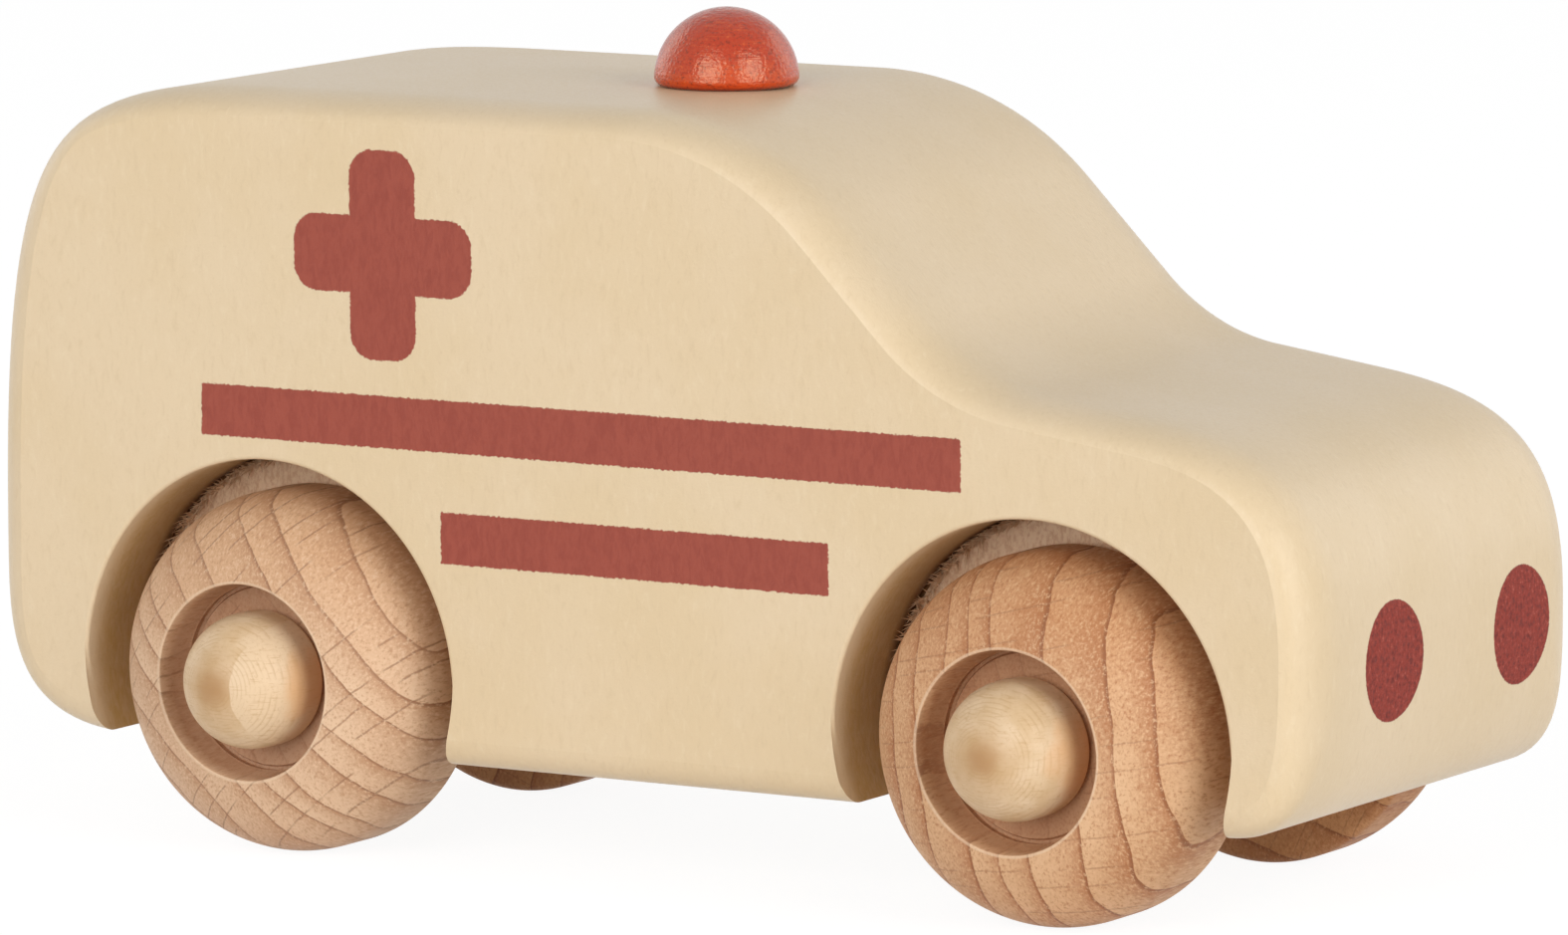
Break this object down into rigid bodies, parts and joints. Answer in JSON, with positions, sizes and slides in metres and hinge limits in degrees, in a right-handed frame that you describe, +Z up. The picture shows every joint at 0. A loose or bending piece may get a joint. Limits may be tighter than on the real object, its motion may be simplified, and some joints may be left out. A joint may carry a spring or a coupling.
{
  "type": "toy ambulance",
  "caption": "Wooden push-along toy ambulance: painted block body with routed wheel wells, round-shouldered wheels spinning on glued pegs, and a turned beacon on the roof.",
  "frame": {"origin": "on the ground under the middle of the overall box, where the wheels stand", "axes": "+X to the nose, +Y to the car's left side along the axles, +Z up"},
  "size_m": [0.1456, 0.0726, 0.0811],
  "materials": {
    "painted_wood": "matt cream paint on a sanded hardwood block, with brick-red printed marks",
    "beech": "bare turned beech, lightly oiled",
    "maple": "bare turned maple with a light wax sheen",
    "stained_beech": "orange-red stained and varnished turned wood"
  },
  "bodies": {
    "chassis": {"body": "painted_wood", "beacon": "stained_beech", "axle_peg_front_right": "maple", "axle_peg_front_left": "maple", "axle_peg_rear_right": "maple", "axle_peg_rear_left": "maple"},
    "wheel_front_right": {"wheel_front_right": "beech"},
    "wheel_front_left": {"wheel_front_left": "beech"},
    "wheel_rear_right": {"wheel_rear_right": "beech"},
    "wheel_rear_left": {"wheel_rear_left": "beech"}
  },
  "joints": [
    {"name": "front_right_spin", "type": "hinge", "parent": "chassis", "child": "wheel_front_right", "pos_m": [0.0438, -0.0242, 0.0175], "axis": [0, 1, 0], "continuous": true},
    {"name": "front_left_spin", "type": "hinge", "parent": "chassis", "child": "wheel_front_left", "pos_m": [0.0438, 0.0242, 0.0175], "axis": [0, 1, 0], "continuous": true},
    {"name": "rear_right_spin", "type": "hinge", "parent": "chassis", "child": "wheel_rear_right", "pos_m": [-0.0401, -0.0242, 0.0175], "axis": [0, 1, 0], "continuous": true},
    {"name": "rear_left_spin", "type": "hinge", "parent": "chassis", "child": "wheel_rear_left", "pos_m": [-0.0401, 0.0242, 0.0175], "axis": [0, 1, 0], "continuous": true}
  ]
}
